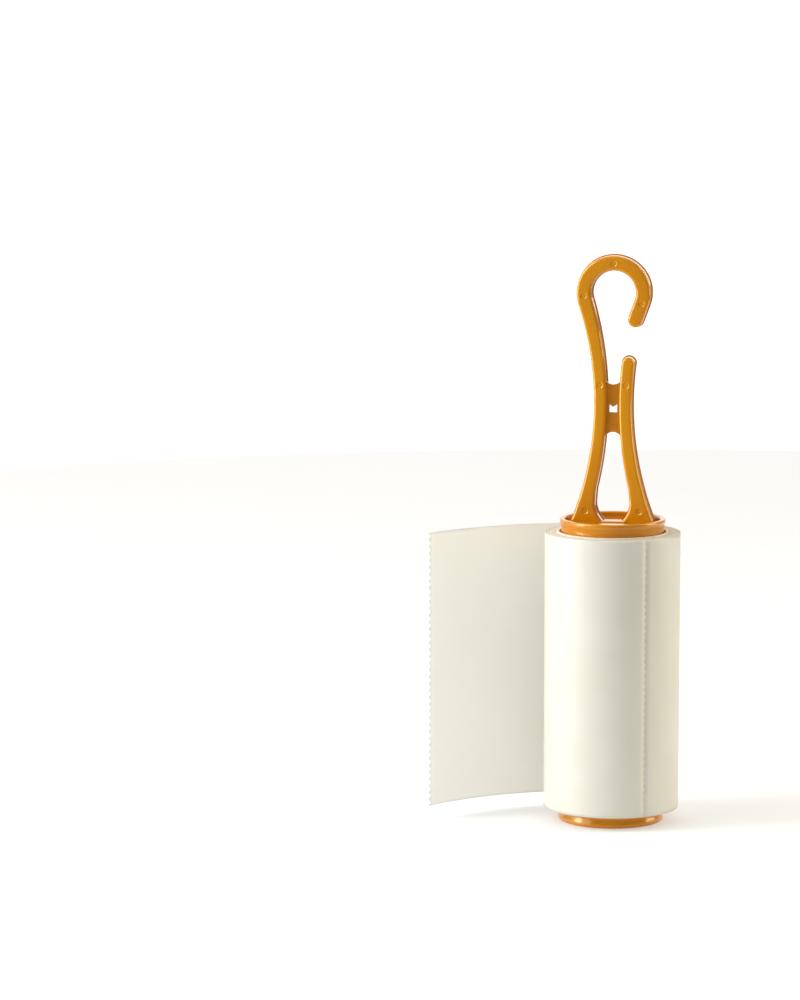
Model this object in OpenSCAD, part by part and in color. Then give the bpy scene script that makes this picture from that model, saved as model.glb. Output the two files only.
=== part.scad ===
// Lint roller: a hook handle with an axle, two end hubs, and a core wound with sticky sheets.
// The frame is on the spin axis, on the surface that the roller stands on. +Z runs up the axle
// to the hook, and the handle's legs lie in the XZ plane with its front face towards -Y.

/* [Sticky sheets] */
// Width of the sheets, along the axle
sheet_w = 100; // [70:1:140]
// Outer diameter of the wound roll
roll_d = 49.1; // [46:0.1:70]
// Thickness of one sheet
sheet_t = 0.15; // [0.1:0.01:0.3]
// Length of one sheet, from perforation to perforation
sheet_len = 140; // [110:1:148]
// Length of the outer sheet that is peeled off the roll
free_len = 75.5; // [50:0.5:100]
// Radius to which the peeled part curls
curl_r = 85; // [60:1:200]
// Direction of the line where the sheet leaves the roll, from +X
peel_a = 95.5; // [60:0.5:120]
// Pitch of the teeth along a torn edge
tooth_pitch = 2.5; // [1.5:0.1:5]
// Depth of the teeth along a torn edge
tooth_h = 1.3; // [0.5:0.1:2]

/* [Core tube] */
// Bore of the cardboard tube
core_id = 38.4; // [32:0.1:46.2]
// Wall of the cardboard tube
core_wall = 1; // [0.6:0.1:1.6]
// How far the tube stands out of the wound sheets at each end
core_proud = 0.4; // [0.1:0.1:2]

/* [End hubs] */
// How far a hub stands out of the wound sheets
hub_proud = 5; // [3:0.1:8]
// Length of a hub, from its lip to the end of its sleeve
hub_len = 18; // [15:0.5:30]
// Height of the lip
lip_h = 1.8; // [1:0.1:2.5]
// Wall of the lip and sleeve
hub_wall = 2; // [1.4:0.1:2.6]
// Depth of the hub's floor under its lip
hub_recess = 8; // [6.5:0.1:12]
// Thickness of the hub's floor
hub_floor = 1.8; // [1:0.1:3]
// Number of grip ribs around the sleeve
grip_ribs = 12; // [6:1:24]
// Number of slots in the floor
floor_slots = 6; // [3:1:8]

/* [Axle and snap] */
// Diameter of the axle
axle_d = 8.94; // [7:0.02:11]
// How far the snap head's barb stands out past the axle
barb = 0.85; // [0.7:0.05:1.05]
// Length of the bending prongs, from their root to the barb
prong_len = 14.3; // [11:0.1:20]
// Length of the snap head, from its barb to its tip
snap_head_len = 4.9; // [3:0.1:6]
// Width of the slot between the prongs
slot_w = 2.6; // [2.1:0.1:3.2]

/* [Handle] */
// Depth of the handle, front to back
handle_t = 7.4; // [5:0.1:10]
// Depth of the bars' rear part, behind the parting plane
rear_depth = 1.6; // [1.2:0.1:2.2]
// How far the rear part of the bars stands out past the front part
rear_step = 0.32; // [0.1:0.02:0.4]
// Height of the waist, where the legs come closest, over the top lip
waist_h = 41.3; // [34:0.1:60]
// Height of the hook's centre over the waist
hook_rise = 39.9; // [33:0.1:60]
// Gap between the legs at the waist
waist_gap = 4.4; // [3.5:0.1:6]
// Width of a leg at the waist
leg_w = 4.6; // [3.5:0.1:5.6]
// Inner radius of the hook
hook_r = 7.95; // [6.6:0.05:14]
// Width of the hook's bar
hook_w = 5.35; // [4.4:0.05:7]
// Lean of the hook's straight end
hook_end_a = 20; // [5:1:40]
// Length of the hook's straight end
hook_end_len = 6.3; // [3:0.1:10]
// Height of the short arm's tip over the waist
arm_h = 16.9; // [12:0.1:21]
// Half of the widest gap between the legs, above the feet
foot_half_gap = 6.15; // [5:0.05:7.4]
// Half of the gap between the feet at the base plate
foot_gap = 2.9; // [1:0.1:3.5]
// Distance from a foot's outer edge to the rim of the base plate
foot_margin = 1.2; // [0.3:0.1:3]
// Height of the web that joins the legs
web_h = 17.1; // [12:0.1:20.6]
// How far the web's middle lies under the waist
web_drop = 1.6; // [0:0.1:3]
// Thickness of the web
web_t = 2.2; // [1.5:0.1:4]
// Side of the square window in the web
window = 2.9; // [2:0.1:3.5]
// Depth of the base plate's top under the top lip
base_drop = 1.3; // [0.8:0.1:2]
// Thickness of the base plate
base_t = 2; // [1.5:0.1:3]
// Diameter of the ejector pin marks
pin_mark_d = 2.9; // [2:0.1:3.5]

/* [Fits] */
// Radial clearance between the axle and a hub's bore
run_fit = 0.08; // [0.05:0.01:0.1]
// Radial clearance between the grip ribs and the core
grip_fit = 0.05; // [0.02:0.01:0.1]
// Radial clearance between the lip and the core, which slides off over it
lip_gap = 0.2; // [0.15:0.05:0.5]
// Axial play of the hubs, at each end
end_play = 0.3; // [0.2:0.05:0.5]
// Radial clearance between the base plate and the top hub
plate_gap = 0.8; // [0.4:0.1:1.5]
// Gap at the root of a part that bends
hinge_gap = 0.3; // [0.25:0.05:0.4]

/* [Hidden] */
$fn = 96;

orange = [0.86, 0.52, 0.03];
paper_white = [0.93, 0.92, 0.87];
card_white = [0.85, 0.80, 0.70];

// Heights along the axle
paper_z0 = hub_proud;
paper_z1 = paper_z0 + sheet_w;
lip_z1 = paper_z1 + hub_proud;
floor_bottom_z = hub_recess;
floor_top_z = lip_z1 - hub_recess;
base_z = lip_z1 - base_drop;
waist_z = lip_z1 + waist_h;
hook_z = waist_z + hook_rise;

// Radii of what turns
roll_r = roll_d / 2;
core_r = core_id / 2;
lip_r = core_r - lip_gap;
lip_step = 0.45;
sleeve_r = lip_r - lip_step;
sleeve_draft = 0.2;
hub_in_r = lip_r - hub_wall;
ledge = 0.8;
axle_r = axle_d / 2;
bore_r = axle_r + run_fit;
boss_r = bore_r + 2;
boss_len = 6.2;
base_r = hub_in_r - plate_gap;
shoulder_r = (bore_r + base_r) / 2 - 1;

// Snap head
prong_root_z = floor_bottom_z - end_play + prong_len;
barb_r = axle_r + barb;
barb_z = floor_bottom_z - end_play;
snap_tip_z = barb_z - snap_head_len;

// Legs and hook: over the waist each edge of a bowed leg is an arc that runs on into the hook's
bow_in_a = waist_gap / 2;
bow_out_a = waist_gap / 2 + leg_w;
hook_out_r = hook_r + hook_w;
function bow_radius(a, r) = (a * a + hook_rise * hook_rise - r * r) / (2 * (r - a));
bow_in_r = bow_radius(bow_in_a, hook_r);
bow_out_r = bow_radius(bow_out_a, hook_out_r);
// Under the waist the outer edge is an arc out to the foot, which stands on the base plate
foot_out_x = base_r - foot_margin;
foot_spread = foot_out_x - bow_out_a;
foot_drop = waist_z - base_z;
foot_bow_r = (foot_drop * foot_drop + foot_spread * foot_spread) / (2 * foot_spread);
face_bevel = 0.5;
foot_flare_r = 9;
foot_flare_len = 5;

// Points of an arc about c, from angle a0 to a1
function arc(c, r, a0, a1, n) =
    [for (i = [0:n]) let (a = a0 + (a1 - a0) * i / n) [c[0] + r * cos(a), c[1] + r * sin(a)]];
// Distance of a leg's edge from the middle plane at height z
function bow_x(a, r, z) = a + r - sqrt(r * r - pow(z - waist_z, 2));
// Mirror of a list of points, left to right, in reverse order
function mirrored(pts) = [for (i = [len(pts) - 1:-1:0]) [-pts[i][0], pts[i][1]]];

// The foot's concave inner edge is an arc from foot_half_gap down to foot_gap at the base plate
flare_x = foot_half_gap - foot_flare_r;
flare_a = acos((foot_gap - flare_x) / foot_flare_r);
flare_z = base_z + foot_flare_r * sin(flare_a);

// Outer and inner edges of the left leg, set in by e, from the foot upwards
function leg_out(e, a_top) =
    let (low_r = foot_bow_r + e, steps = 12)
    concat(
        arc([-(bow_out_a + foot_bow_r), waist_z], low_r, -asin(foot_drop / low_r), 0, steps),
        arc([-(bow_out_a + bow_out_r), waist_z], bow_out_r + e, a_top / steps, a_top, steps - 1));
function leg_in(e, a_top) =
    let (r = bow_in_r - e, c = [-(bow_in_a + bow_in_r), waist_z])
    concat(
        arc([-flare_x, flare_z], foot_flare_r + e, 180 + flare_a, 180, 8),
        arc(c, r, -asin((waist_z - flare_z - foot_flare_len) / r), a_top, 20));

// Long leg that runs up into the hook
function long_leg(e) =
    let (a_out = atan2(hook_rise, bow_out_a + bow_out_r),
         a_in = atan2(hook_rise, bow_in_a + bow_in_r),
         c = [0, hook_z], end_r = hook_w / 2,
         mid_r = hook_r + end_r,
         tip = [mid_r * cos(hook_end_a) - hook_end_len * sin(hook_end_a),
                hook_z - mid_r * sin(hook_end_a) - hook_end_len * cos(hook_end_a)])
    concat(
        leg_out(e, a_out),
        arc(c, hook_out_r - e, 180 + a_out - 3, -hook_end_a, 44),
        arc(tip, end_r - e, -hook_end_a, -180 - hook_end_a, 12),
        arc(c, hook_r + e, -hook_end_a, 180 + a_in - 3, 32),
        [for (i = [len(leg_in(e, a_in)) - 1:-1:0]) leg_in(e, a_in)[i]]);

// Short leg with its round arm tip
function short_leg(e) =
    let (z = waist_z + arm_h - leg_w / 2,
         a_out = asin((z - waist_z) / (bow_out_r + e)),
         a_in = asin((z - waist_z) / (bow_in_r - e)),
         x_out = bow_x(bow_out_a, bow_out_r, z), x_in = bow_x(bow_in_a, bow_in_r, z),
         tip_r = (x_out - x_in) / 2 - e)
    mirrored(concat(
        leg_out(e, a_out),
        arc([-(x_out + x_in) / 2, z], tip_r, 172, 8, 10),
        [for (i = [len(leg_in(e, a_in)) - 1:-1:0]) leg_in(e, a_in)[i]]));

// Places of the ejector pin marks on the handle's front face
mark_r = hook_r + hook_w / 2;
mark_leg_x = bow_in_a + leg_w / 2 + 0.2;
mark_foot_h = 4.2;
mark_foot_x = (foot_half_gap + bow_x(bow_out_a, foot_bow_r, base_z + mark_foot_h)) / 2;
pin_marks = [
    [0, hook_z + mark_r],
    [-mark_r, hook_z - 1],
    [mark_r * cos(hook_end_a), hook_z - mark_r * sin(hook_end_a)],
    [-mark_leg_x, waist_z + 7],
    [mark_leg_x, waist_z + 7],
    [-mark_foot_x, base_z + mark_foot_h],
    [mark_foot_x, base_z + mark_foot_h]
];

// A flat outline drawn in XZ, made solid from y0 to y1
module slab(y0, y1) {
    translate([0, y1, 0])
    rotate([90, 0, 0])
    linear_extrude(y1 - y0)
    children();
}

// Both legs, stepped out at the parting plane and bevelled at the faces
module legs() {
    half_t = handle_t / 2;
    parting_y = half_t - rear_depth;
    bevel_len = 1;
    for (layer = [[-half_t, bevel_len - half_t, face_bevel], [bevel_len - half_t, parting_y, 0],
                  [parting_y, half_t - bevel_len, -rear_step],
                  [half_t - bevel_len, half_t, face_bevel - rear_step]]) {
        slab(layer[0], layer[1]) {
            polygon(long_leg(layer[2]));
            polygon(short_leg(layer[2]));
        }
    }
}

// Web between the legs, with concave ends and a toothed window
module web() {
    end_r = bow_in_a + 1;
    end_rise = 1.6;
    tooth = 1;
    slab(-web_t / 2, web_t / 2)
    translate([0, waist_z - web_drop])
    difference() {
        square([waist_gap + 2, web_h + 2 * end_rise], center = true);
        for (side = [-1, 1])
            translate([0, side * (web_h / 2 + end_r)])
            circle(end_r);
        polygon([[-window / 2, -window / 2], [window / 2, -window / 2], [window / 2, window / 2],
                 [0, window / 2 - tooth], [-window / 2, window / 2]]);
    }
}

// Base plate, the low rib between the feet, and the shoulder that stands off the top hub's floor
module base_plate() {
    translate([0, 0, base_z - base_t])
    cylinder(r = base_r, h = base_t);
    translate([-foot_gap - 3, -handle_t / 2, base_z - 0.5])
    cube([2 * foot_gap + 6, handle_t, 1]);
    translate([0, 0, floor_top_z + end_play])
    cylinder(r = shoulder_r, h = base_z - base_t - floor_top_z - end_play + 0.5);
}

// Axle with a journal in each hub and a cross section between them
module axle() {
    journal_len = hub_floor + boss_len + 2;
    lower_top = prong_root_z + hinge_gap + journal_len;
    translate([0, 0, floor_top_z - journal_len])
    cylinder(r = axle_r, h = journal_len + end_play + 0.5);
    translate([0, 0, prong_root_z + hinge_gap])
    cylinder(r = axle_r, h = journal_len);
    intersection() {
        translate([0, 0, lower_top - 0.5])
        cylinder(r = axle_r, h = floor_top_z - journal_len - lower_top + 1);
        for (turn = [0, 90])
            rotate([0, 0, turn])
            translate([-axle_d, -1.1, 0])
            cube([2 * axle_d, 2.2, lip_z1]);
    }
}

module handle() {
    color(orange)
    difference() {
        union() {
            legs();
            web();
            base_plate();
            axle();
        }
        for (p = pin_marks)
            translate([p[0], -handle_t / 2 + 0.2, p[1]])
            rotate([90, 0, 0])
            cylinder(d = pin_mark_d, h = 1, $fn = 32);
    }
}

// One bending half of the axle's end, with half of the snap head
module snap_prong() {
    intersection() {
        rotate_extrude()
        polygon([[0, snap_tip_z], [axle_r * 0.62, snap_tip_z], [axle_r * 0.8, snap_tip_z + 0.5],
                 [barb_r, barb_z - 0.9], [barb_r, barb_z], [axle_r, barb_z],
                 [axle_r, prong_root_z], [0, prong_root_z]]);
        translate([slot_w / 2, -axle_d, snap_tip_z - 1])
        cube([axle_d, 2 * axle_d, prong_root_z - snap_tip_z + 2]);
    }
}

module snap_prong_right() {
    color(orange)
    snap_prong();
}

module snap_prong_left() {
    color(orange)
    mirror([1, 0, 0])
    snap_prong();
}

// An end hub with its lip on the plane z = 0 and its sleeve pointing up
module hub() {
    lip_round = 0.8;
    rib_w = 1.2;
    slot_r = hub_in_r * 0.68;
    rib_z0 = hub_proud + 1;
    difference() {
        union() {
            rotate_extrude()
            polygon(concat(
                arc([hub_in_r + lip_round, lip_round], lip_round, 180, 270, 6),
                arc([lip_r - lip_round, lip_round], lip_round, -90, 0, 6),
                [[lip_r, lip_h], [sleeve_r, lip_h + lip_step], [sleeve_r - sleeve_draft, hub_len],
                 [hub_in_r, hub_len], [hub_in_r - ledge, hub_recess + hub_floor],
                 [boss_r, hub_recess + hub_floor], [boss_r, hub_recess + hub_floor + boss_len],
                 [bore_r, hub_recess + hub_floor + boss_len], [bore_r, hub_recess],
                 [hub_in_r - ledge, hub_recess], [hub_in_r - ledge, hub_recess - ledge],
                 [hub_in_r, hub_recess - ledge]]));
            for (i = [0:grip_ribs - 1])
                rotate([0, 0, (i + 0.5) * 360 / grip_ribs])
                intersection() {
                    translate([sleeve_r - 1, -rib_w / 2, rib_z0])
                    cube([3, rib_w, hub_len - rib_z0 - 0.5]);
                    cylinder(r = core_r - grip_fit, h = hub_len);
                }
        }
        for (i = [0:floor_slots - 1])
            rotate([0, 0, i * 360 / floor_slots])
            translate([slot_r - 0.6, -1.8, hub_recess - 1])
            cube([1.2, 3.6, hub_floor + 2]);
    }
}

module hub_bottom() {
    color(orange)
    hub();
}

module hub_top() {
    color(orange)
    translate([0, 0, lip_z1])
    mirror([0, 0, 1])
    hub();
}

// A round wall between two radii
module ring(r0, r1, z0, z1) {
    translate([0, 0, z0])
    difference() {
        cylinder(r = r1, h = z1 - z0);
        translate([0, 0, -1])
        cylinder(r = r0, h = z1 - z0 + 2);
    }
}

// A sheet bent to the radius r, from angle a0 over the angle sweep
module bent_sheet(r, a0, sweep) {
    rotate([0, 0, a0])
    rotate_extrude(angle = sweep, $fn = 180)
    translate([r - sheet_t, paper_z0])
    square([sheet_t, sheet_w]);
}

module core_tube() {
    color(card_white)
    ring(core_r, core_r + core_wall, paper_z0 - core_proud, paper_z1 + core_proud);
}

// Every sheet under the two outermost ones, as one wound solid
module adhesive_roll() {
    color(paper_white)
    ring(core_r + core_wall, roll_r - 2 * sheet_t, paper_z0, paper_z1);
}

deg = 180 / PI;
wrap_a = (sheet_len - free_len) / roll_r * deg;
perforation_a = peel_a - wrap_a;
second_sweep = sheet_len / (roll_r - sheet_t) * deg;
// The peeled part leaves the roll on a larger arc with the same tangent
curl_c = [(roll_r - curl_r) * cos(peel_a), (roll_r - curl_r) * sin(peel_a)];
lead_len = 4;
lead_a = lead_len / curl_r * deg;
gap_a = hinge_gap / curl_r * deg;
// Air between two wound sheets, which keeps a many-sided outline clear of a round one
layer_gap = 0.01;

// The sheet whose outer face shows where the outer sheet has been peeled off
module second_sheet() {
    color(paper_white)
    bent_sheet(roll_r - sheet_t, perforation_a - second_sweep, second_sweep);
}

// What still sticks of the outer sheet, and the short stretch where it lifts off
module outer_sheet() {
    steps = 100;
    color(paper_white)
    translate([0, 0, paper_z0])
    linear_extrude(sheet_w)
    polygon(concat(
        arc([0, 0], roll_r, perforation_a, peel_a, steps),
        arc(curl_c, curl_r, peel_a + lead_a / 2, peel_a + lead_a, 1),
        arc(curl_c, curl_r - sheet_t, peel_a + lead_a, peel_a + lead_a / 2, 1),
        arc([0, 0], roll_r - sheet_t + layer_gap, peel_a, perforation_a, steps)));
}

// The peeled part. It is bent a little too long, and the teeth of its torn edge are cut into it.
module free_sheet() {
    spare_len = 1;
    sweep_a = free_len / curl_r * deg;
    spare_a = spare_len / curl_r * deg;
    teeth = floor(sheet_w / tooth_pitch);
    color(paper_white)
    translate([curl_c[0], curl_c[1], 0])
    difference() {
        bent_sheet(curl_r, peel_a + lead_a + gap_a, sweep_a + spare_a - lead_a - gap_a);
        rotate([0, 0, peel_a + sweep_a])
        translate([curl_r + 2, 0, paper_z0])
        rotate([90, 0, -90])
        linear_extrude(4)
        polygon(concat(
            [for (i = [-1:teeth + 1])
                each [[tooth_h, i * tooth_pitch], [0, (i + 0.5) * tooth_pitch]]],
            [[-2 * spare_len, sheet_w + 3 * tooth_pitch], [-2 * spare_len, -tooth_pitch]]));
    }
}

handle();
snap_prong_left();
snap_prong_right();
hub_top();
hub_bottom();
core_tube();
adhesive_roll();
second_sheet();
outer_sheet();
free_sheet();
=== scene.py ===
# %% [markdown]
# # A lint roller with a hook handle
# The roller stands on its lower hub. Its body was designed in millimetres, and this scene draws
# every piece again with rounded edges, real paper layers and shaded materials. The first cell
# loads the designed pieces as a frame: the new ones are placed on it and move with its bodies.

# %% Load the frame
import math

import bmesh
import bpy
from mathutils import Matrix, Vector


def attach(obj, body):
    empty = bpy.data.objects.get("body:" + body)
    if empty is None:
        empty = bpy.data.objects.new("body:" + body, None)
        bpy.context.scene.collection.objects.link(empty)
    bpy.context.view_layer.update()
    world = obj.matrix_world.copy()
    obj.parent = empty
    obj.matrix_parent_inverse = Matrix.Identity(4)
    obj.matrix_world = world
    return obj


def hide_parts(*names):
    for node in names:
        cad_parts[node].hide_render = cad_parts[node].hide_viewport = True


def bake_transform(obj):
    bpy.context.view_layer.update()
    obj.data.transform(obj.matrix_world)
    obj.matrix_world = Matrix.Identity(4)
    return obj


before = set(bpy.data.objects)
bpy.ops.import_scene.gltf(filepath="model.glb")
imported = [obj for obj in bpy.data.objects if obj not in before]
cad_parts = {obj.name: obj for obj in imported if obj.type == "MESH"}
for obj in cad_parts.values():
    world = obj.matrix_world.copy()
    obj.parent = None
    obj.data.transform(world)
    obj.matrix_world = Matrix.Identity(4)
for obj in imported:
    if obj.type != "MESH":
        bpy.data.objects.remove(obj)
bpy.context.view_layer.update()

MM = 0.001

# %% [markdown]
# ## The measures
# These numbers are the design's own, in millimetres. Heights run up the axle from the surface that
# the roller stands on, and radii are measured from the axle.

# %% Measures of the roller
PAPER_Z = (5.0, 105.0)
LIP_Z = 110.0
BASE_Z = 108.7
WAIST_Z = 151.3
HOOK_Z = 191.2
CORE_R = 19.2
CORE_WALL = 1.0
ROLL_R = 24.55
SHEET = 0.15
SHEET_LEN = 140.0
FREE_LEN = 75.5
CURL_R = 85.0
PEEL = math.radians(95.5)
AXLE_R = 4.47
BASE_R = 16.2

# %% [markdown]
# ## Drawing with a pen
# A pen is one vertex that is pulled along a path. Spinning it round a centre draws an arc, and
# extruding it draws a straight run, so that an outline needs only its centres and angles.

# %% The pen
class Pen:
    """One vertex that draws an outline in an upright plane at depth y, seen from the front."""

    def __init__(self, bm, x, z, y=0.0):
        self.bm = bm
        self.y = y
        self.tip = bmesh.ops.create_vert(bm, co=(x, y, z))["vert"][0]
        self.start = self.tip

    def arc(self, x, z, degrees, steps):
        """Turns the tip about (x, z), counterclockwise where degrees are positive."""
        made = bmesh.ops.spin(self.bm, geom=[self.tip], cent=(x, self.y, z), axis=(0, -1, 0),
                              angle=math.radians(degrees), steps=steps)
        self.tip = made["geom_last"][0]
        return self

    def run(self, x, z):
        """Draws a straight line to (x, z)."""
        self.tip = bmesh.ops.extrude_vert_indiv(self.bm, verts=[self.tip])["verts"][0]
        self.tip.co = (x, self.y, z)
        return self

    def close(self):
        """Joins the tip to the start."""
        self.run(self.start.co.x, self.start.co.z)
        bmesh.ops.remove_doubles(self.bm, verts=[self.start, self.tip], dist=0.001)


def fill(bm):
    """Fills the outlines drawn so far, leaving inner ones as holes, facing the front."""
    made = bmesh.ops.triangle_fill(bm, use_beauty=True, edges=bm.edges[:], normal=(0, -1, 0))
    return [f for f in made["geom"] if isinstance(f, bmesh.types.BMFace)]


def thicken(bm, faces, depth):
    """Pulls flat faces out by depth towards the front and returns the moved front faces."""
    made = bmesh.ops.extrude_face_region(bm, geom=faces)["geom"]
    bmesh.ops.translate(bm, vec=(0, -depth, 0),
                        verts=[v for v in made if isinstance(v, bmesh.types.BMVert)])
    bmesh.ops.recalc_face_normals(bm, faces=bm.faces[:])
    return [f for f in made if isinstance(f, bmesh.types.BMFace)]


def step_in(bm, faces, inward, outward):
    """Insets a face region by inward and lifts it by outward."""
    bmesh.ops.inset_region(bm, faces=faces, thickness=inward, depth=outward,
                           use_even_offset=True, use_boundary=True)


def round_over(bm, faces, radius, steps):
    """Gives the rim of a face region a quarter-round of that radius."""
    angles = [math.pi / 2 * i / steps for i in range(steps + 1)]
    for a, b in zip(angles, angles[1:]):
        step_in(bm, faces, radius * (math.cos(a) - math.cos(b)),
                radius * (math.sin(b) - math.sin(a)))


# %% [markdown]
# ## From mesh to piece
# Every mesh is drawn in millimetres, scaled to metres and turned into an object. Edges sharper
# than a limit stay crisp, and weighted normals keep the flat faces flat beside their roundings.

# %% Making pieces
def keep(bm, name, materials, body=None, instead=(), sharp=35, even=True):
    """Turns a finished bmesh into a piece that rides on a body instead of some nodes."""
    bmesh.ops.recalc_face_normals(bm, faces=bm.faces[:])
    bmesh.ops.scale(bm, vec=(MM, MM, MM), verts=bm.verts[:])
    mesh = bpy.data.meshes.new(name)
    bm.to_mesh(mesh)
    bm.free()
    for material in materials:
        mesh.materials.append(material)
    mesh.shade_smooth()
    mesh.set_sharp_from_angle(angle=math.radians(sharp))
    piece = bpy.data.objects.new(name, mesh)
    bpy.context.scene.collection.objects.link(piece)
    if body:
        if even:
            piece.modifiers.new("Even shading", "WEIGHTED_NORMAL").keep_sharp = True
        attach(piece, body)
        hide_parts(*instead)
    print(f"{name}: {len(mesh.polygons)} faces")
    return piece


# %% [markdown]
# ## Materials as recipes
# A recipe builds one material. A wire stands for one output of a node and takes part in sums, so
# that a mask can be written as a formula.

# %% Wires and recipes
class Wire:
    """One output socket of a recipe's node."""

    def __init__(self, recipe, socket):
        self.recipe = recipe
        self.socket = socket

    def math(self, operation, *others):
        """A Math node that works on this wire, and on others after it."""
        return self.recipe.node("ShaderNodeMath", {"operation": operation},
                                dict(enumerate((self, *others))))

    def __add__(self, other):
        return self.math("ADD", other)

    __radd__ = __add__

    def __mul__(self, other):
        return self.math("MULTIPLY", other)

    __rmul__ = __mul__

    def __sub__(self, other):
        return self.math("SUBTRACT", other)

    def __rsub__(self, other):
        return self.recipe.node("ShaderNodeMath", {"operation": "SUBTRACT"}, {0: other, 1: self})

    def __truediv__(self, other):
        return self.math("DIVIDE", other)

    def spread(self, low, high, to_low=0.0, to_high=1.0):
        """Maps low..high softly to to_low..to_high."""
        return self.recipe.node("ShaderNodeMapRange", {"interpolation_type": "SMOOTHSTEP"},
                                {"Value": self, "From Min": low, "From Max": high,
                                 "To Min": to_low, "To Max": to_high})


class Recipe:
    """The node tree of one material, ending in its Principled shader."""

    def __init__(self, name, **constants):
        self.material = bpy.data.materials.new(name)
        self.material.use_nodes = True
        self.tree = self.material.node_tree
        self.shader = self.tree.nodes["Principled BSDF"]
        for label, value in constants.items():
            self.shader.inputs[label.replace("_", " ")].default_value = value

    def feed(self, socket, value):
        """Links a wire to a socket, or sets the socket to a plain value."""
        if isinstance(value, Wire):
            self.tree.links.new(value.socket, socket)
        else:
            socket.default_value = value

    def node(self, kind, settings=None, inputs=None, output=0):
        """Adds a node, applies its settings and then its inputs, and returns one output."""
        made = self.tree.nodes.new(kind)
        for label, value in (settings or {}).items():
            setattr(made, label, value)
        for label, value in (inputs or {}).items():
            self.feed(made.inputs[label], value)
        return Wire(self, made.outputs[output])

    def place(self, stretch=(1.0, 1.0, 1.0)):
        """Object coordinates, stretched."""
        where = self.node("ShaderNodeTexCoord", output="Object")
        return self.node("ShaderNodeVectorMath", {"operation": "MULTIPLY"},
                         {0: where, 1: stretch})

    def noise(self, where, scale, detail=2.0, roughness=0.5):
        return self.node("ShaderNodeTexNoise", None, {"Vector": where, "Scale": scale,
                                                      "Detail": detail, "Roughness": roughness})

    def part(self, vector, axis):
        return self.node("ShaderNodeSeparateXYZ", None, {0: vector}, axis)

    def mix(self, factor, a, b):
        return self.node("ShaderNodeMix", {"data_type": "RGBA"}, {0: factor, 6: a, 7: b}, 2)

    def bump(self, height, distance, strength=1.0):
        return self.node("ShaderNodeBump", None, {"Height": height, "Distance": distance,
                                                  "Strength": strength})

    def let_through(self, share, colour):
        """Lets a share of the light pass through, as thin paper does."""
        passing = self.node("ShaderNodeBsdfTranslucent", None, {"Color": colour})
        mixed = self.node("ShaderNodeMixShader", None,
                          {0: share, 1: Wire(self, self.shader.outputs[0]), 2: passing})
        self.feed(self.tree.nodes["Material Output"].inputs["Surface"], mixed)

    def set(self, **wires):
        """Feeds wires into the shader's own sockets and returns the material."""
        for label, wire in wires.items():
            self.feed(self.shader.inputs[label.replace("_", " ")], wire)
        return self.material


def ink(red, green, blue):
    """A display colour, 0 to 255 a channel, as the linear colour a shader takes."""
    def linear(c):
        c /= 255
        return c / 12.92 if c <= 0.04045 else ((c + 0.055) / 1.055) ** 2.4
    return (linear(red), linear(green), linear(blue), 1.0)


# %% [markdown]
# ## Orange plastic
# The handle is moulded in a bright, slightly see-through plastic. The colour drifts a little with
# the flow of the melt, and faint ripples in the surface soften its highlights. A tint on the
# shine keeps it warm, as pigment near the surface does. The hubs are duller, and their colour is
# painted a shade deeper, as painted shade for the shadow that falls on them.

# %% Orange plastic
def orange_plastic(name, dullness, deep, pale):
    """Moulded plastic between two tones. Its roughness starts from dullness."""
    plastic = Recipe(name, IOR=1.8, Subsurface_Weight=0.04, Subsurface_Scale=0.0015,
                     Subsurface_Radius=(1.0, 0.35, 0.05), Coat_Roughness=0.06,
                     Specular_Tint=(1.0, 0.78, 0.34, 1.0))
    flow = plastic.noise(plastic.place((1.0, 1.0, 0.35)), 60.0, 3.0)
    grain = plastic.noise(plastic.place(), 2600.0, 2.0)
    colour = plastic.mix(flow.spread(0.3, 0.7), deep, pale)
    dust = plastic.noise(plastic.place(), 900.0, 4.0, 0.7).spread(0.68, 0.8)
    return plastic.set(
        Base_Color=plastic.mix(dust * 0.35, colour, ink(245, 196, 96)),
        Roughness=flow * 0.06 + dust * 0.2 + dullness,
        Coat_Weight=0.4 - dust * 0.3,
        Normal=plastic.bump(flow * 0.9 + grain * 0.03, 0.0006, 0.12))


handle_plastic = orange_plastic("orange plastic", 0.06, ink(207, 132, 0), ink(216, 143, 2))
# The hubs' deeper tones are painted shade that stands in for the shadow on the hubs.
hub_plastic_painted_shade = orange_plastic("hub plastic with painted shade", 0.16, ink(198, 119, 0), ink(205, 129, 2))
print("plastics:", handle_plastic.name, "and", hub_plastic_painted_shade.name)

# %% [markdown]
# ## The handle's bars
# The long leg runs up into the hook and the short one ends in a round tip. Both are drawn at the
# parting plane, where the two halves of the mould met, and then pulled out to both sides.

# %% Leg outlines
WAIST_IN = 2.2
WAIST_OUT = 6.8
HOOK_R = 7.95
BAR = 5.35
RISE = HOOK_Z - WAIST_Z
FOOT_X = 15.0
LEAN = 20.0
END_LEN = 6.3


def bow_radius(at_waist, at_hook):
    """Radius of the arc from the waist to a hook circle that it touches."""
    return (at_waist**2 + RISE**2 - at_hook**2) / (2 * (at_hook - at_waist))


BOW_IN = bow_radius(WAIST_IN, HOOK_R)
BOW_OUT = bow_radius(WAIST_OUT, HOOK_R + BAR)
DROP = WAIST_Z - BASE_Z
FOOT_BOW = (DROP**2 + (FOOT_X - WAIST_OUT)**2) / (2 * (FOOT_X - WAIST_OUT))
FLARE_R = 9.0
FLARE_X = 2.85
FLARE_A = math.degrees(math.acos((2.9 + FLARE_X) / FLARE_R))
FLARE_Z = BASE_Z + FLARE_R * math.sin(math.radians(FLARE_A))
SOLE_Z = BASE_Z - 1.8
FLARE_RUN = 5.0
ARM_RISE = 14.6
print("leg bows in mm:", round(BOW_IN, 1), round(BOW_OUT, 1), round(FOOT_BOW, 1))


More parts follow.
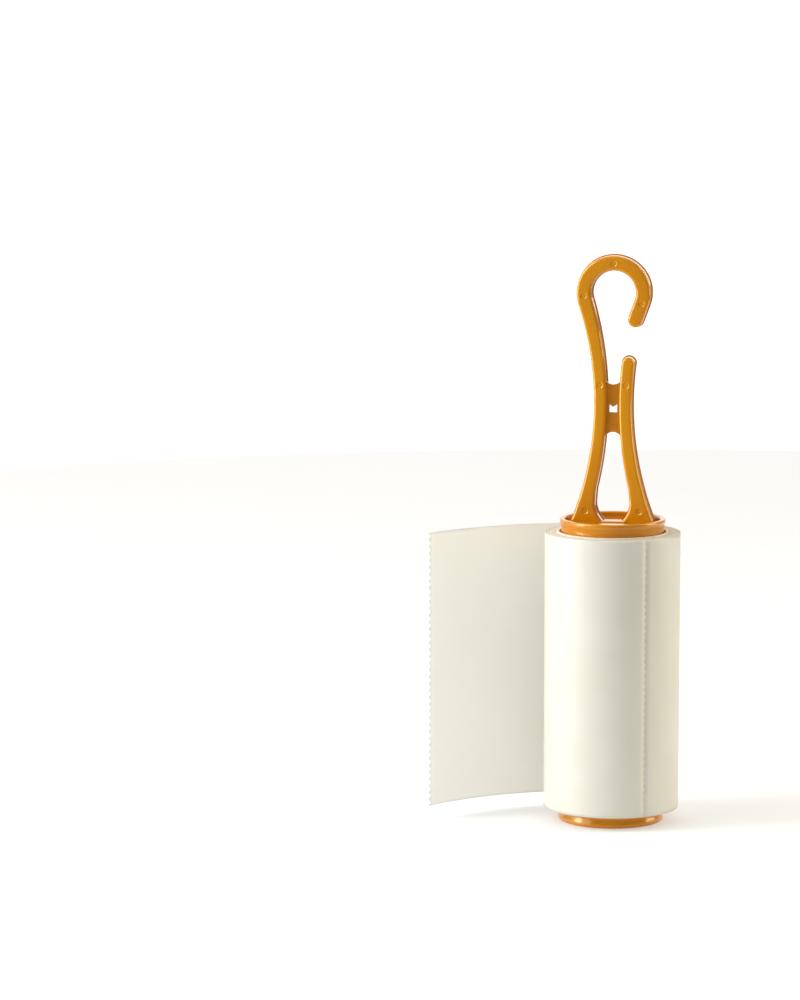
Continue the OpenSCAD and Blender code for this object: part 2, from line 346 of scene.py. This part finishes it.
def foot_out(bm, side, grow, y):
    """Starts a leg at its foot's outer edge and draws up to the waist. side is -1 for the left."""
    centre = side * (WAIST_OUT + FOOT_BOW)
    low_r = FOOT_BOW - grow
    angle = math.degrees(math.asin(DROP / low_r))
    x = centre - side * low_r * math.cos(math.radians(angle))
    return Pen(bm, x, SOLE_Z, y).run(x, BASE_Z).arc(centre, WAIST_Z, -side * angle, 30)


def foot_in(pen, side, grow, top):
    """Draws a leg's inner edge from the angle top over the waist down to the sole."""
    low = math.degrees(math.asin((WAIST_Z - FLARE_Z - FLARE_RUN) / (BOW_IN + grow)))
    pen.arc(side * (WAIST_IN + BOW_IN), WAIST_Z, side * (top + low), 44)
    pen.run(side * (FLARE_R - FLARE_X - grow), FLARE_Z)
    pen.arc(-side * FLARE_X, FLARE_Z, -side * FLARE_A, 14)
    pen.run(pen.tip.co.x, SOLE_Z).close()


def long_leg(bm, grow, y):
    """The left leg, the hook and its straight end."""
    a_out = math.degrees(math.atan2(RISE, WAIST_OUT + BOW_OUT))
    a_in = math.degrees(math.atan2(RISE, WAIST_IN + BOW_IN))
    lean = math.radians(LEAN)
    dx, dz = -END_LEN * math.sin(lean), -END_LEN * math.cos(lean)
    mid_r = HOOK_R + BAR / 2
    pen = foot_out(bm, -1, grow, y)
    pen.arc(-WAIST_OUT - BOW_OUT, WAIST_Z, a_out, 36)
    pen.arc(0, HOOK_Z, -180 - a_out - LEAN, 90)
    pen.run(pen.tip.co.x + dx, pen.tip.co.z + dz)
    pen.arc(mid_r * math.cos(lean) + dx, HOOK_Z - mid_r * math.sin(lean) + dz, -180, 20)
    pen.run(pen.tip.co.x - dx, pen.tip.co.z - dz)
    pen.arc(0, HOOK_Z, 180 + a_in + LEAN, 64)
    foot_in(pen, -1, grow, a_in)


def short_leg(bm, grow, y):
    """The right leg with its round arm tip."""
    z = WAIST_Z + ARM_RISE
    a_out = math.degrees(math.asin((z - WAIST_Z) / (BOW_OUT - grow)))
    a_in = math.degrees(math.asin((z - WAIST_Z) / (BOW_IN + grow)))
    pen = foot_out(bm, 1, grow, y)
    pen.arc(WAIST_OUT + BOW_OUT, WAIST_Z, -a_out, 16)
    x_out = pen.tip.co.x
    x_in = WAIST_IN - grow + (BOW_IN + grow) * (1 - math.cos(math.radians(a_in)))
    pen.arc((x_out + x_in) / 2, z, 180, 20)
    foot_in(pen, 1, grow, a_in)


# %% [markdown]
# The seven round marks are where the pins pushed the moulding out. Each is a small disc that sits
# a tenth of a millimetre deep in the front face.

# %% Bars, rounded and marked
REAR_STEP = 0.31
PARTING_Y = 2.1
HALF_T = 3.7
REAR_ROUND = 0.6
FRONT_ROUND = 1.05
MARK_R = 1.2
MARK_SIDES = 32
MID_R = HOOK_R + BAR / 2
MARKS = [(0, HOOK_Z + MID_R), (-MID_R, HOOK_Z - 1),
         (MID_R * math.cos(math.radians(LEAN)), HOOK_Z - MID_R * math.sin(math.radians(LEAN))),
         (-4.7, WAIST_Z + 7), (4.7, WAIST_Z + 7), (-9.7, BASE_Z + 4.2), (9.7, BASE_Z + 4.2)]


def bars(bm):
    """Both legs with the hook, as closed mouldings in bm."""
    y = HALF_T - REAR_ROUND
    long_leg(bm, REAR_STEP, y)
    short_leg(bm, REAR_STEP, y)
    for x, z in MARKS:
        bmesh.ops.create_circle(bm, segments=MARK_SIDES, radius=MARK_R,
                                matrix=Matrix.Translation((x, y, z)) @ Matrix.Rotation(
                                    math.pi / 2, 4, "X"))
    back = fill(bm)
    rings = [e for e in bm.edges if len(e.link_faces) == 1 and any(
        abs(math.hypot(v.co.x - x, v.co.z - z) - MARK_R) < 0.01
        for v in e.verts[:1] for x, z in MARKS)]
    back += bmesh.ops.edgeloop_fill(bm, edges=rings)["faces"]
    front = thicken(bm, back, y - PARTING_Y)
    step_in(bm, front, REAR_STEP, 0.0)
    step_in(bm, front, 0.04, PARTING_Y + HALF_T - FRONT_ROUND)
    round_over(bm, front, FRONT_ROUND, 7)
    round_over(bm, back, REAR_ROUND, 4)
    discs = [f for f in front if len(f.verts) == MARK_SIDES]
    bmesh.ops.inset_individual(bm, faces=discs, thickness=0.2, depth=-0.16)
    print("pin marks:", len(discs))


# %% [markdown]
# ## Lathe work
# Round pieces start as a profile of (radius, height) points. Some corners are rounded first, by a
# bevel of the profile's own vertices, and the profile is then spun about the axle.

# %% The lathe
def lathe(bm, points, rounds=None, steps=128, turn=0.0, closed=True):
    """Spins a profile about the axle. rounds maps a point's number to its corner radius."""
    pen = Pen(bm, *points[0])
    corners = [pen.tip]
    for x, z in points[1:]:
        corners.append(pen.run(x, z).tip)
    if closed:
        bmesh.ops.contextual_create(bm, geom=[corners[-1], corners[0]])
    for number, radius in (rounds or {}).items():
        bmesh.ops.bevel(bm, geom=[corners[number]], offset=radius, segments=5, profile=0.5,
                        affect="VERTICES")
    wire = [e for e in bm.edges if not e.link_faces and e.calc_length() > 0
            and all(abs(v.co.y) < 1e-6 for v in e.verts)]
    verts = list({v for e in wire for v in e.verts})
    bmesh.ops.rotate(bm, verts=verts, cent=(0, 0, 0), matrix=Matrix.Rotation(turn, 3, "Z"))
    bmesh.ops.spin(bm, geom=verts + wire, cent=(0, 0, 0), axis=(0, 0, 1), angle=2 * math.pi,
                   steps=steps, use_merge=True)
    bmesh.ops.remove_doubles(bm, verts=[v for v in bm.verts if math.hypot(v.co.x, v.co.y) < 1e-4],
                             dist=1e-4)


# %% [markdown]
# The web joins the legs at the waist and has a small square window with one tooth. The base plate
# covers the top hub, and a shoulder under it stands off the hub's floor.

# %% Web, base plate and axle
WINDOW_HALF = 1.45
RIB = (11.8, 2 * HALF_T, 1.0)
SHOULDER_R = 9.37
SHOULDER_Z = (102.3, 107.5)
UPPER_JOURNAL_Z = (92.0, 103.0)
LOWER_JOURNAL_Z = (22.3, 32.3)
CROSS_WIDE = 8.6
CROSS_THIN = 2.2
CROSS_Z = (31.5, 93.0)


def web(bm):
    """The web between the legs, with its concave ends and its window."""
    mid = WAIST_Z - 1.6
    half_h, end_r, half_w = 8.55, 3.2, 3.1
    angle = math.degrees(math.acos(half_w / end_r))
    reach = half_h + end_r - end_r * math.sin(math.radians(angle))
    pen = Pen(bm, -half_w, mid - reach, 1.1)
    pen.arc(0, mid - half_h - end_r, 2 * angle - 180, 24).run(half_w, mid + reach)
    pen.arc(0, mid + half_h + end_r, 2 * angle - 180, 24).close()
    half = WINDOW_HALF
    window = Pen(bm, -half, mid - half, 1.1).run(half, mid - half).run(half, mid + half)
    window.run(0, mid + half - 1).run(-half, mid + half).close()
    made = [e for e in bm.edges if not e.link_faces]
    faces = bmesh.ops.triangle_fill(bm, use_beauty=True, edges=made, normal=(0, -1, 0))["geom"]
    back = [f for f in faces if isinstance(f, bmesh.types.BMFace)]
    front = thicken(bm, back, 2.0)
    round_over(bm, front, 0.2, 3)
    round_over(bm, back, 0.1, 2)


def bar_of_cross(bm, wide, deep):
    """One upright plate of the axle's cross section, with rounded outer edges."""
    low, high = CROSS_Z
    made = bmesh.ops.create_cube(bm, size=1.0)["verts"]
    bmesh.ops.scale(bm, vec=(wide, deep, high - low), verts=made)
    bmesh.ops.translate(bm, vec=(0, 0, (low + high) / 2), verts=made)
    upright = [e for e in {e for v in made for e in v.link_edges}
               if abs(e.verts[0].co.z - e.verts[1].co.z) > 1]
    bmesh.ops.bevel(bm, geom=upright, offset=0.35, segments=3, profile=0.5, affect="EDGES")


def low_rib(bm):
    """The low rib that joins the feet on the base plate."""
    made = bmesh.ops.create_cube(bm, size=1.0)["verts"]
    bmesh.ops.scale(bm, vec=RIB, verts=made)
    bmesh.ops.translate(bm, vec=(0, 0, BASE_Z), verts=made)
    top = [e for e in {e for v in made for e in v.link_edges}
           if all(v.co.z > BASE_Z for v in e.verts)]
    bmesh.ops.bevel(bm, geom=top, offset=0.3, segments=3, profile=0.5, affect="EDGES")


def disc(bm, radius, low, high, rounds, steps=128):
    """A solid turned disc or rod. In rounds, 1 is its lower edge and 2 its upper one."""
    lathe(bm, [(0, low), (radius, low), (radius, high), (0, high)], rounds, steps, closed=False)


def axle_parts(bm):
    """Base plate, shoulder, journals and cross section."""
    disc(bm, BASE_R, BASE_Z - 2, BASE_Z, {1: 0.3, 2: 0.4})
    disc(bm, SHOULDER_R, *SHOULDER_Z, {1: 0.4})
    disc(bm, AXLE_R, *UPPER_JOURNAL_Z, {1: 0.4}, 96)
    disc(bm, AXLE_R, *LOWER_JOURNAL_Z, {2: 0.4}, 96)
    bar_of_cross(bm, CROSS_WIDE, CROSS_THIN)
    bar_of_cross(bm, CROSS_THIN, CROSS_WIDE)


handle_bm = bmesh.new()
bars(handle_bm)
web(handle_bm)
low_rib(handle_bm)
axle_parts(handle_bm)
handle = keep(handle_bm, "handle_moulding", [handle_plastic], "handle", ["handle"], even=False)

# %% [markdown]
# ## Snap prongs
# The axle ends in two bending prongs with a barbed, rounded head. One is cut from a turned blank
# by a plane beside the slot, and the other is its mirror image.

# %% Snap prongs
SLOT_HALF = 1.32


def prong(side, name, body, node):
    """One half of the snap end. side is -1 for the left."""
    bm = bmesh.new()
    lathe(bm, [(0, 2.8), (2.8, 2.8), (3.7, 3.4), (5.32, 6.85), (5.32, 7.7), (AXLE_R, 7.72),
               (AXLE_R, 22), (0, 22)], {1: 0.5, 2: 0.8, 3: 0.5, 4: 0.15}, 96, closed=False)
    cut = bmesh.ops.bisect_plane(bm, geom=bm.verts[:] + bm.edges[:] + bm.faces[:], dist=1e-4,
                                 plane_co=(side * SLOT_HALF, 0, 0), plane_no=(-side, 0, 0),
                                 clear_outer=True)["geom_cut"]
    bmesh.ops.triangle_fill(bm, edges=[e for e in cut if isinstance(e, bmesh.types.BMEdge)],
                            use_beauty=True)
    piece = keep(bm, name, [handle_plastic], body, [node])


prong(-1, "snap_left", "prong_left", "snap_prong_left")
prong(1, "snap_right", "prong_right", "snap_prong_right")

# %% [markdown]
# ## End hubs
# Each hub is a cup with a lip, a sleeve that grips the core and a floor with the axle's bore.
# Columns of its turned faces are pulled out as grip ribs, and others are opened as slots.

# %% End hubs
STEPS = 96
RIB_R = 19.14
SLOTS = 6


def facing(face):
    """Which of the turned columns a face stands in, counted from +X."""
    middle = face.calc_center_median()
    return round(math.atan2(middle.y, middle.x) / math.tau * STEPS) % STEPS


def close_slots(bm, edges):
    """Bridges the two rims of each floor slot."""
    for number in range(SLOTS):
        near = [e for e in edges if e.is_valid and round(math.atan2(
            e.verts[0].co.y + e.verts[1].co.y, e.verts[0].co.x + e.verts[1].co.x)
            / math.tau * SLOTS) % SLOTS == number]
        bmesh.ops.bridge_loops(bm, edges=near)


def hub(flip, name, node):
    """One end hub with its lip down, or turned over for the upper end."""
    bm = bmesh.new()
    slot_in, slot_out = 10.96, 12.16
    lip, inner, sleeve, bore, boss = 19.0, 17.0, 18.55, 4.55, 6.55
    profile = [(inner, 0), (lip, 0), (lip, 1.3), (sleeve, 3.0), (sleeve - 0.03, 6),
               (sleeve - 0.18, 17.5), (sleeve - 0.2, 18), (inner, 18), (inner - 0.8, 9.8),
               (slot_out, 9.8), (slot_in, 9.8), (boss, 9.8), (boss, 16), (bore, 16), (bore, 8),
               (slot_in, 8), (slot_out, 8), (inner - 0.8, 8), (inner - 0.8, 7.2), (inner, 7.2)]
    rounds = {0: 0.75, 1: 0.6, 2: 0.6, 3: 0.6, 6: 0.15, 7: 0.4, 8: 0.8, 12: 0.3, 13: 0.3, 14: 0.3,
              17: 0.3, 18: 0.2}
    lathe(bm, profile, rounds, STEPS, -math.pi / STEPS)
    ribs = [f for f in bm.faces if facing(f) % 8 == 4 and f.calc_center_median().xy.length > 18
            and 6 < f.calc_center_median().z < 17.5]
    made = bmesh.ops.extrude_face_region(bm, geom=ribs)["geom"]
    tips = [v for v in made if isinstance(v, bmesh.types.BMVert)]
    bmesh.ops.delete(bm, geom=ribs, context="FACES_ONLY")
    for v in tips:
        v.co.xy = v.co.xy.normalized() * RIB_R
    gaps = [f for f in bm.faces if (facing(f) + 2) % 16 < 5
            and slot_in < f.calc_center_median().xy.length < slot_out
            and 7.9 < f.calc_center_median().z < 9.9]
    bmesh.ops.delete(bm, geom=gaps, context="FACES")
    open_edges = [e for e in bm.edges if e.is_boundary]
    close_slots(bm, open_edges)
    if flip:
        bmesh.ops.scale(bm, vec=(1, 1, -1), verts=bm.verts[:])
        bmesh.ops.translate(bm, vec=(0, 0, LIP_Z), verts=bm.verts[:])
    piece = keep(bm, name, [hub_plastic_painted_shade], "reel", [node])


hub(False, "lower_hub", "hub_bottom")
hub(True, "upper_hub", "hub_top")

# %% [markdown]
# ## Card core
# The core is a tube of wound card, so a faint seam climbs round it.

# %% Card core
CARD_PITCH = 45.0
card = Recipe("card")
spot = card.place()
round_it = card.part(spot, "Y").math("ARCTAN2", card.part(spot, "X"))
climb = (round_it / math.tau + card.part(spot, "Z") / (CARD_PITCH * MM)).math("FRACT")
seam = climb.spread(0.0, 0.02) * (1 - climb.spread(0.98, 1.0))
fibre = card.noise(card.place((1.0, 1.0, 0.3)), 900.0, 4.0, 0.65)
card_board = card.set(
    Base_Color=card.mix(fibre.spread(0.35, 0.7), ink(226, 218, 200), ink(246, 242, 230)),
    Roughness=0.9 - fibre * 0.15,
    Normal=card.bump(fibre * 0.4 + seam, 0.0002, 0.6))

core_bm = bmesh.new()
lathe(core_bm, [(CORE_R, 4.6), (CORE_R + CORE_WALL, 4.6), (CORE_R + CORE_WALL, 105.4),
                (CORE_R, 105.4)], {0: 0.15, 1: 0.15, 2: 0.15, 3: 0.15}, 160)
core = keep(core_bm, "card_core", [card_board], "refill", ["core_tube"])

# %% [markdown]
# ## Wound paper
# The sheets under the two outermost ones are wound into one solid. Its ends show every layer: the
# turned profile has one step for each of them, and each stands a little higher or lower.

# %% Wound paper
wound = Recipe("wound paper")
spot = wound.place()
radius = (wound.part(spot, "X") * wound.part(spot, "X")
          + wound.part(spot, "Y") * wound.part(spot, "Y")).math("SQRT")
rings = wound.node("ShaderNodeTexNoise", {"noise_dimensions": "1D"},
                   {"W": radius, "Scale": 3800.0, "Detail": 1.0})
coarse = wound.node("ShaderNodeTexNoise", {"noise_dimensions": "1D"},
                    {"W": radius, "Scale": 1100.0, "Detail": 1.0})
speck = wound.noise(spot, 2200.0, 3.0)
layered = wound.set(
    Base_Color=wound.mix((rings * 0.6 + coarse * 0.4).spread(0.35, 0.62), ink(196, 186, 162),
                         ink(244, 240, 226)),
    Roughness=0.75 + speck * 0.15,
    Normal=wound.bump(rings + speck * 0.3, 0.0002, 0.7))

WOUND_R = 24.18
layers = int((WOUND_R - CORE_R - CORE_WALL) / SHEET)
pitch = (WOUND_R - CORE_R - CORE_WALL) / layers
wound_points = []
for end in (0, 1):
    for number in range(layers) if end == 0 else reversed(range(layers)):
        sink = 0.02 + 0.12 * (0.5 + 0.5 * math.sin(number * 2.4) * math.cos(number * 0.7 + end))
        z = PAPER_Z[0] + sink if end == 0 else PAPER_Z[1] - sink
        low_r = CORE_R + CORE_WALL + number * pitch
        pair = [(low_r + 0.02, z), (low_r + pitch - 0.02, z)]
        wound_points += pair if end == 0 else pair[::-1]
wound_bm = bmesh.new()
lathe(wound_bm, wound_points, None, 160)
wound_paper = keep(wound_bm, "wound_paper", [layered], "refill", ["adhesive_roll"])
print("wound layers:", layers)

# %% [markdown]
# ## The strip
# All the sheets are one long strip, torn off along zigzag perforations. A sheet is a flat grid
# with its length and width kept as a map. Both ends are cut to teeth, and then each vertex is
# carried to its place on the spiral or on the peeled curl.

# %% Bending a sheet
TOOTH = 1.3
SEAM_TOOTH = 0.5
HALF_PITCH = 1.25
PAPER_T = 0.14
HIDDEN_GAP = 2.0
BLEND_FROM = -2.0
BLEND_TO = -6.0
WRAPPED = SHEET_LEN - FREE_LEN
CURL_X = (ROLL_R - CURL_R) * math.cos(PEEL)
CURL_Y = (ROLL_R - CURL_R) * math.sin(PEEL)


def on_strip(along):
    """Where the strip's outer face lies, at a length along it in mm before the peel line."""
    if along >= 0:
        angle = PEEL - along / ROLL_R
        layer = min(1, along / WRAPPED) + max(0, (along - math.tau * ROLL_R) / WRAPPED)
        r = ROLL_R - (SHEET + 0.005) * layer
        return r * math.cos(angle), r * math.sin(angle)
    angle = PEEL - along / CURL_R
    return CURL_X + CURL_R * math.cos(angle), CURL_Y + CURL_R * math.sin(angle)


def strip_sheet(first, last):
    """One sheet of the strip from the place first to last, in mm before the peel line."""
    bm = bmesh.new()
    columns = round((last - first) / 2)
    rows = round((PAPER_Z[1] - PAPER_Z[0]) / HALF_PITCH)
    bmesh.ops.create_grid(bm, x_segments=columns, y_segments=rows, size=0.5)
    uv = bm.loops.layers.uv.new("strip")
    for v in bm.verts:
        row = round((v.co.y + 0.5) * rows)
        place = first + (v.co.x + 0.5) * (last - first)
        if abs(v.co.x) > 0.4999 and row % 2:
            place += TOOTH if place < 0 else SEAM_TOOTH
        v.co = (place, PAPER_Z[0] + row * HALF_PITCH, 0)
    for face in bm.faces:
        for loop in face.loops:
            loop[uv].uv = (loop.vert.co.x * MM, loop.vert.co.y * MM)
    for v in bm.verts:
        x, y = on_strip(v.co.x)
        v.co = (x, y, v.co.y)
    bmesh.ops.recalc_face_normals(bm, faces=bm.faces[:])
    return bm


print("wrapped part of the outer sheet in mm:", WRAPPED)

# %% [markdown]
# The outside of the strip carries the glue and shines softly. The inside is plain, matt paper.
# Both let some light through. Where the cuts of the perforation catch the light, a row of small
# ticks is painted in as highlights. They follow the sheet's own map, so that they stay on the line
# where two sheets join.

# %% Sheet materials
def paper(name, light, dark, rough, coat, thin):
    """Paper between two tones. thin is the share of light that it lets through."""
    sheet = Recipe(name, Coat_Roughness=0.22, Specular_IOR_Level=0.45)
    where = sheet.node("ShaderNodeTexCoord", output="UV")
    cloud = sheet.noise(where, 45.0, 4.0, 0.6)
    fibre = sheet.noise(where, 1400.0, 3.0, 0.6)
    speck = sheet.noise(where, 260.0, 2.0).spread(0.74, 0.8)
    tooth = (sheet.part(where, "Y") / (2 * HALF_PITCH * MM)).math("PINGPONG", 0.5)
    from_cut = sheet.part(where, "X") - WRAPPED * MM - tooth * (2 * SEAM_TOOTH * MM)
    cut = 1 - from_cut.math("ABSOLUTE").spread(0.05 * MM, 0.3 * MM)
    # The ticks are a painted highlight: near-white colour where the perforation's cuts catch the
    # light.
    tick_highlight = cut * tooth.spread(0.36, 0.46) * 0.5
    base = sheet.mix(cloud.spread(0.3, 0.7), dark, light)
    base = sheet.mix(speck * 0.25, base, ink(176, 168, 150))
    sheet.let_through(thin, light)
    return sheet.set(
        Base_Color=sheet.mix(tick_highlight, base, ink(255, 255, 252)),
        Roughness=rough + cloud * 0.1 - tick_highlight * 0.1,
        Coat_Weight=coat * (0.6 + cloud * 0.6),
        Normal=sheet.bump(cloud * 1.2 + fibre * 0.06, 0.0004, 0.35))


glue_face = paper("sticky face", ink(248, 246, 236), ink(244, 242, 229), 0.3, 0.5, 0.34)
back_face = paper("sheet back", ink(255, 255, 255), ink(254, 254, 251), 0.6, 0.0, 0.6)
edge_face = paper("cut edge", ink(240, 236, 222), ink(232, 226, 208), 0.8, 0.0, 0.1)
print("papers:", ", ".join(m.name for m in (glue_face, back_face, edge_face)))


def finish_sheet(bm, name, body, nodes):
    """Gives a sheet its thickness and its three papers, and sets it on body when one is given."""
    piece = keep(bm, name, [glue_face, back_face, edge_face], sharp=180)
    thick = piece.modifiers.new("Thickness", "SOLIDIFY")
    thick.thickness = PAPER_T * MM
    thick.offset = -1.0
    thick.material_offset = 1
    thick.material_offset_rim = 2
    thick.use_even_offset = True
    if body:
        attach(piece, body)
    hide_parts(*nodes)
    return piece


# %% [markdown]
# The second sheet lies flat on the wound paper, from the perforation round and back under the
# outer one. The outer sheet still sticks from the perforation to the peel line, and its loose
# part bends there as it is lifted.

# %% Second and outer sheets
second = finish_sheet(strip_sheet(WRAPPED, WRAPPED + SHEET_LEN - HIDDEN_GAP),
                      "second_sheet_paper", "refill", ["second_sheet"])

outer = finish_sheet(strip_sheet(-FREE_LEN, WRAPPED),
                     "outer_sheet_paper", None, ["outer_sheet", "free_sheet"])
stuck, loose = [(x * MM, y * MM, LIP_Z / 2 * MM) for x, y in map(on_strip, (BLEND_FROM, BLEND_TO))]
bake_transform(outer)

# %% [markdown]
# ## Table
# The roller stands on a pale, matt table that glows a little, so that it stays near white in the
# shade. It reaches further back than forward: glossy plastic would mirror a bright foreground.

# %% Table
TABLE_R = 750
TABLE_BACK = 350
table_bm = bmesh.new()
bmesh.ops.create_circle(table_bm, cap_ends=True, segments=96, radius=TABLE_R)
bmesh.ops.translate(table_bm, verts=table_bm.verts, vec=(0, TABLE_BACK, 0))
table_stuff = Recipe("pale table", Roughness=0.9, Emission_Color=(1.0, 1.0, 1.0, 1.0),
                     Emission_Strength=0.33)
grain = table_stuff.noise(table_stuff.place(), 6.0, 3.0)
table_paint = table_stuff.set(
    Base_Color=table_stuff.mix(grain, ink(206, 206, 206), ink(210, 210, 210)))
table = keep(table_bm, "table", [table_paint])

# %% [markdown]
# ## Surroundings
# The room is white where the camera sees it, but it lights the roller only with a weak, warm glow.
# A Light Path node tells the two apart.

# %% Surroundings
GLOW = 0.3
GLOW_COLOUR = (1.0, 0.96, 0.86, 1.0)
BACKDROP = 1.2
world = bpy.data.worlds.new("white studio")
bpy.context.scene.world = world
world.use_nodes = True
air = world.node_tree
seen = air.nodes.new("ShaderNodeLightPath")
glow = air.nodes["Background"]
glow.inputs["Strength"].default_value = GLOW
glow.inputs["Color"].default_value = GLOW_COLOUR
white = air.nodes.new("ShaderNodeBackground")
white.inputs["Color"].default_value = (1.0, 1.0, 1.0, 1.0)
white.inputs["Strength"].default_value = BACKDROP
either = air.nodes.new("ShaderNodeMixShader")
air.links.new(seen.outputs["Is Camera Ray"], either.inputs["Fac"])
air.links.new(glow.outputs[0], either.inputs[1])
air.links.new(white.outputs[0], either.inputs[2])
air.links.new(either.outputs[0], air.nodes["World Output"].inputs["Surface"])
print("room glow:", GLOW, "and backdrop:", BACKDROP)

# %% [markdown]
# ## Lamps
# A broad lamp on the left models the round paper from light to shade. A narrow one in the same
# place draws crisp lines on the plastic, and a warm strip on the right lifts the far edges. A
# lamp behind shines through the loose sheet, and one overhead keeps the table bright.

# %% Lamps
def lamp(name, place, aim, width, height, watts, colour=(1.0, 1.0, 1.0)):
    """A flat soft lamp at place, turned to aim."""
    light = bpy.data.lights.new(name, "AREA")
    light.shape = "RECTANGLE"
    light.size = width
    light.size_y = height
    light.energy = watts
    light.color = colour
    holder = bpy.data.objects.new(name, light)
    holder.location = place
    holder.rotation_euler = (Vector(aim) - Vector(place)).to_track_quat("-Z", "Y").to_euler()
    holder.visible_camera = False
    bpy.context.scene.collection.objects.link(holder)


COOL = (0.99, 1.0, 1.02)
WARM = (1.0, 0.92, 0.74)
lamp("left lamp", (-0.85, -0.31, 0.45), (0, 0, 0.1), 1.25, 1.2, 7.4, COOL)
lamp("left strip", (-0.84, -0.31, 0.45), (0, 0, 0.1), 0.32, 1.2, 7.8, COOL)
lamp("right strip", (0.8, 0.2, 0.45), (0, 0, 0.12), 0.45, 0.9, 5.3, WARM)
lamp("back lamp", (-0.4, 1.3, 0.75), (0, 0, 0.1), 2.2, 1.3, 9)
lamp("top lamp", (0.0, 0.0, 1.5), (0, 0, 0.0), 1.8, 1.8, 4.5)
print("lamps:", ", ".join(sorted(light.name for light in bpy.data.lights)))

# %% [markdown]
# ## Camera
# A long lens looks slightly down on the roller from a little to its right, so that it stands in
# the right half of the picture.

# %% Camera
FOCAL = 143.66
FROM_AXLE = 1.4226
EYE_Z = 0.3098
TURN = math.radians(5.5)
LOOK_DOWN = math.radians(7.75)
LOOK_ASIDE = math.radians(3.08)
lens = bpy.data.cameras.new("camera")
lens.lens = FOCAL
lens.sensor_width = 36.0
lens.clip_end = 200.0
camera = bpy.data.objects.new("camera", lens)
camera.location = (FROM_AXLE * math.sin(TURN), -FROM_AXLE * math.cos(TURN), EYE_Z)
camera.rotation_euler = (math.pi / 2 - LOOK_DOWN, 0, TURN + LOOK_ASIDE)
bpy.context.scene.collection.objects.link(camera)
bpy.context.scene.camera = camera
bpy.context.scene.view_settings.view_transform = "Standard"
print("camera at", [round(value, 3) for value in camera.location])
